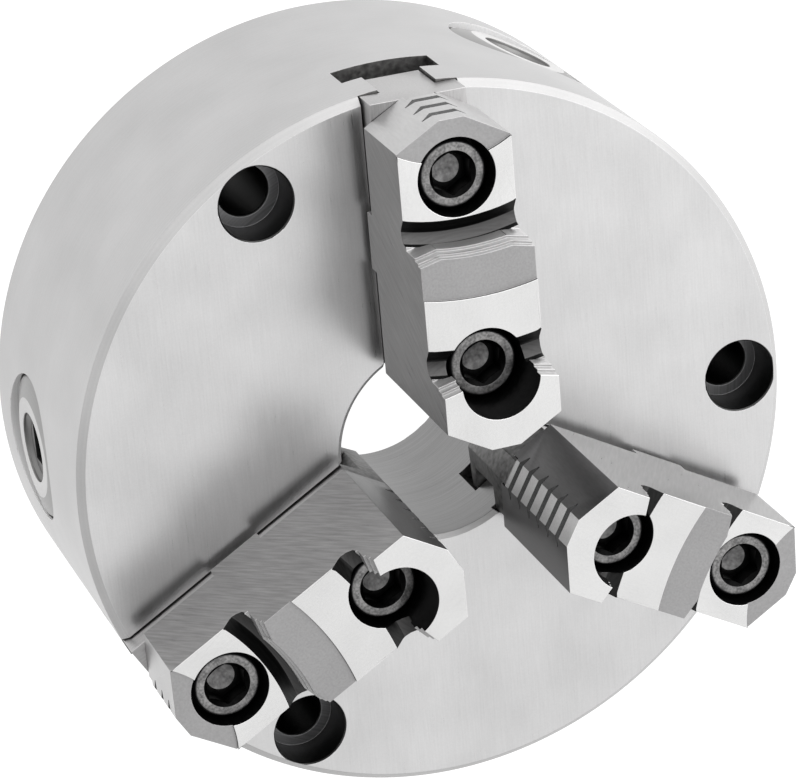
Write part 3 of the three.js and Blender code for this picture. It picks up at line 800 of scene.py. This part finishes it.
def jaw_finish(centre, normal):
    for finish in (well_finish, groove_finish, band_edge_finish, upward_finish):
        found = finish(centre, normal)
        if found:
            return found
    on_underside = centre.z < FACE + UNDERSIDE + NEAR and abs(normal.z) > LEANS
    if on_underside or abs(normal.y) > FLAT:
        return "jaw_side"
    found = tip_finish(centre, normal)
    if found:
        return found
    if centre.x < INNER_CORNER + NEAR:
        return "jaw_nose"
    return "jaw_end" if centre.x > OUTER_CORNER - NEAR else "jaw_wall"


def make_top_jaw():
    outline = [
        (INNER_CORNER, -JAW_HALF), (OUTER_CORNER, -JAW_HALF),
        (OUTER_TIP, -OUTER_TIP_HALF), (OUTER_TIP, OUTER_TIP_HALF),
        (OUTER_CORNER, JAW_HALF), (INNER_CORNER, JAW_HALF),
        (INNER_TIP, INNER_TIP_HALF), (INNER_TIP, -INNER_TIP_HALF),
    ]
    jaw = prism(outline, FACE + UNDERSIDE, FACE + STEPS[2])
    key = block((KEY_INNER, KEY_OUTER), JAW_HALF, (FACE + KEY_BOTTOM, FACE + UNDERSIDE + PAST))
    combine(jaw, [key], "UNION")
    rail_groove = block((INNER_TIP - PAST, OUTER_TIP + PAST), RAIL_HALF, (FACE, FACE + RAIL_TOP))
    cutters = [rail_groove]
    for wall, edge, step, top in zip(WALLS, GROOVE_EDGES, STEPS, STEPS[1:]):
        cutters.append(step_cutter(wall, edge, step, top))
        cutters += wall_end_cutters(wall, step, top)
    for step, arc_centre, arc_radius in BANDS:
        top = FACE + step
        cutters.append(cylinder(arc_radius, top - BAND_DEPTH, top + PAST, ARC_SIDES, (arc_centre, 0)))
    cutters += nose_notches(INNER_TIP, 1, STEPS[2], INNER_NOSE_TEETH)
    cutters += nose_notches(OUTER_TIP, -1, STEPS[0], OUTER_NOSE_TEETH)
    cutters += screw_wells()
    return combine(jaw, cutters)


# ------------------------------------------------------------------ screws
def make_jaw_screw(shank_length):
    """A socket-head cap screw with the top of its head at height 0."""
    seat = SEAT_GAP - HEAD_HEIGHT
    end = -HEAD_HEIGHT - shank_length
    crown = []
    for i in range(CROWN_STEPS, -1, -1):
        angle = math.pi / 2 * i / CROWN_STEPS
        flat_radius = HEAD_RADIUS - HEAD_CROWN
        crown.append((flat_radius + HEAD_CROWN * math.sin(angle), HEAD_CROWN * (math.cos(angle) - 1)))
    screw = turned([
        (0, end),
        (SHANK_RADIUS - SHANK_CHAMFER, end),
        (SHANK_RADIUS, end + SHANK_CHAMFER),
        (SHANK_RADIUS, seat),
        (HEAD_RADIUS, seat),
        *crown,
        (0, 0),
    ])
    flat = SOCKET_ACROSS_FLATS / 2
    hexagon = cylinder(flat / math.cos(math.pi / HEX_SIDES), -SOCKET_DEPTH, PAST, HEX_SIDES)
    mouth = turned([
        (0, -SOCKET_MOUTH),
        (flat, -SOCKET_MOUTH),
        (flat + SOCKET_MOUTH + PAST, PAST),
        (0, PAST),
    ])
    dimple = turned([
        (0, -SOCKET_DEPTH - DIMPLE_DEPTH),
        (DIMPLE_RADIUS, -SOCKET_DEPTH),
        (DIMPLE_RADIUS, -SOCKET_DEPTH + DIMPLE_OVERLAP),
        (0, -SOCKET_DEPTH + DIMPLE_OVERLAP),
    ])
    return combine(screw, [hexagon, mouth, dimple])


def screw_finish(centre, normal):
    from_axis = math.hypot(centre.x, centre.y)
    # Inside the hexagon socket the walls and mouth get painted shade, blacker than the oxide.
    in_socket = from_axis < SOCKET_ACROSS_FLATS / 2 + SOCKET_MOUTH
    if not in_socket or not -SOCKET_DEPTH - DIMPLE_DEPTH < centre.z < -NEAR:
        return "screw"
    # The dimple at the socket's bottom is painted light grey, a painted reflection of the light.
    return "dimple" if centre.z < -SOCKET_DEPTH - NEAR else "socket"


# ------------------------------------------------------------------ pieces refined from the frame
def refined(node, degrees, flatness=None):
    """A copy of a CAD node in its radial frame, with its points welded and its edges broken."""
    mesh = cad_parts[node].data.copy()
    mesh.transform(Matrix.Rotation(math.radians(-degrees), 4, "Z"))
    if mesh.has_custom_normals:
        mesh.normals_split_custom_set([(0, 0, 0)] * len(mesh.loops))
    piece = bpy.data.objects.new(f"{node}_detailed", mesh)
    bpy.context.scene.collection.objects.link(piece)
    weld(piece, COPY_WELD, flatness)
    return round_edges(turned_to(piece, degrees), COPY_EDGE)


def master_finish(centre, normal):
    # The nose and the part below the rib's front get painted shade.
    at_nose = centre.x < MASTER_NOSE_END and abs(normal.z) < LEANS
    return "master_nose_shade" if at_nose or centre.z < RIB_FRONT else "master"


def pinion_finish(centre, normal):
    from_axis = math.hypot(centre.y, centre.z - PINION_HEIGHT)
    if from_axis < KEY_RECESS_RADIUS + NEAR:
        # The key socket's walls get painted shade.
        return "pinion_recess" if centre.x > KEY_RECESS_FLOOR - NEAR else "pinion_socket_shade"
    if centre.x < PINION_CONE_START:
        return "gear"
    return "pinion" if normal.x > LEVEL else "pinion_cone"


def stand_for(piece, name, node, body):
    piece.name = name
    piece.data.name = name
    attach(piece, body)
    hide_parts(node)
    return piece


def copy_of(piece):
    twin = piece.copy()
    bpy.context.scene.collection.objects.link(twin)
    return twin


def build_detailed_pieces(materials):
    body = round_edges(paint(make_body(), materials, body_finish), BODY_EDGE)
    stand_for(body, "chuck_body_detailed", "chuck_body", "body")

    jaw = round_edges(paint(make_top_jaw(), materials, jaw_finish), JAW_EDGE)
    screws = {}
    for key, (_, _, shank_length) in SCREW_PLACES.items():
        screw = paint(make_jaw_screw(shank_length), materials, screw_finish)
        screws[key] = round_edges(screw, SCREW_EDGE, limit=SCREW_EDGE_LIMIT)
    for number in NUMBERS:
        angle = jaw_angle(number)
        moving = f"jaw_{number}"
        stand_for(turned_to(copy_of(jaw), angle), f"top_jaw_{number}_detailed", f"top_jaw_{number}",
                  moving)
        for key, (place, head_top, _) in SCREW_PLACES.items():
            screw = copy_of(screws[key])
            screw.matrix_world = Matrix.Translation(Vector((place, 0, FACE + head_top)) * MM)
            stand_for(turned_to(screw, angle), f"jaw_screw_{number}_{key}_detailed",
                      f"jaw_screw_{number}_{key}", moving)
        master = refined(f"master_jaw_{number}", angle, flatness=MASTER_FLATNESS)
        paint(master, materials, master_finish)
        stand_for(master, master.name, f"master_jaw_{number}", moving)
        pinion = refined(f"pinion_{number}", angle + PINION_LAG)
        paint(pinion, materials, pinion_finish)
        stand_for(pinion, pinion.name, f"pinion_{number}", f"pinion_{number}")
    for pattern in (jaw, *screws.values()):
        bpy.data.objects.remove(pattern)


def paint_plain_pieces(materials):
    """The inner pieces keep their CAD shapes and get a finish."""
    finishes = {"scroll_plate": "gear", "back_cover": "cover"}
    for number in NUMBERS:
        finishes[f"pinion_screw_{number}"] = "plain_screw"
        finishes[f"cover_screw_{number}"] = "plain_screw"
    for node, finish in finishes.items():
        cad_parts[node].material_slots[0].material = materials[finish]


# ------------------------------------------------------------------ studio
def make_camera():
    azimuth = math.radians(VIEW_AZIMUTH)
    elevation = math.radians(VIEW_ELEVATION)
    back = Vector((math.sin(azimuth) * math.cos(elevation), -math.cos(azimuth) * math.cos(elevation),
                   math.sin(elevation)))
    upright = back.to_track_quat("Z", "Y")
    camera = bpy.data.objects.new("camera", bpy.data.cameras.new("camera"))
    camera.data.lens = LENS
    camera.data.sensor_width = SENSOR_WIDTH
    camera.data.clip_start = NEAREST_VIEW
    camera.rotation_mode = "QUATERNION"
    camera.rotation_quaternion = upright @ Quaternion((0, 0, 1), math.radians(VIEW_ROLL))
    camera.location = VIEW_TARGET + back * VIEW_DISTANCE
    bpy.context.scene.collection.objects.link(camera)
    bpy.context.scene.camera = camera


def make_key_light():
    """A square light that shines on the chuck from a direction in the part's frame."""
    away = Vector(KEY_DIRECTION).normalized()
    light = bpy.data.objects.new("key_light", bpy.data.lights.new("key_light", "AREA"))
    light.data.shape = "SQUARE"
    light.data.size = KEY_SIZE
    light.data.energy = KEY_POWER
    light.location = VIEW_TARGET + away * KEY_DISTANCE
    light.rotation_mode = "QUATERNION"
    light.rotation_quaternion = away.to_track_quat("Z", "Y")
    bpy.context.scene.collection.objects.link(light)


def make_floor():
    half = FLOOR_HALF / MM
    floor = new_piece("floor", [(-half, -half, 0), (half, -half, 0), (half, half, 0), (-half, half, 0)],
                      [[0, 1, 2, 3]])
    floor.location.z = -FLOOR_DROP
    material = bpy.data.materials.new("floor")
    material.use_nodes = True
    surface = material.node_tree.nodes["Principled BSDF"]
    surface.inputs["Base Color"].default_value = (FLOOR_SHADE, FLOOR_SHADE, FLOOR_SHADE, 1)
    surface.inputs["Roughness"].default_value = FLOOR_ROUGHNESS
    surface.inputs["Emission Color"].default_value = (1, 1, 1, 1)
    surface.inputs["Emission Strength"].default_value = FLOOR_GLOW
    floor.data.materials.append(material)


def make_sky():
    """A white sky whose strength grows towards the bright side."""
    world = bpy.data.worlds.new("studio")
    world.use_nodes = True
    nodes = world.node_tree.nodes
    direction = nodes.new("ShaderNodeTexCoord").outputs["Generated"]
    towards = nodes.new("ShaderNodeVectorMath")
    towards.operation = "DOT_PRODUCT"
    towards.inputs[1].default_value = BRIGHT_SIDE
    strength = nodes.new("ShaderNodeMath")
    strength.operation = "ADD"
    strength.inputs[1].default_value = SKY_STRENGTH
    links = world.node_tree.links
    links.new(direction, towards.inputs[0])
    links.new(towards.outputs["Value"], strength.inputs[0])
    links.new(strength.outputs[0], nodes["Background"].inputs["Strength"])
    nodes["Background"].inputs["Color"].default_value = (1, 1, 1, 1)
    bpy.context.scene.world = world


def make_studio():
    bpy.context.scene.view_settings.view_transform = "Standard"
    make_sky()
    make_camera()
    make_key_light()
    make_floor()


materials = make_materials()
build_detailed_pieces(materials)
paint_plain_pieces(materials)
make_studio()
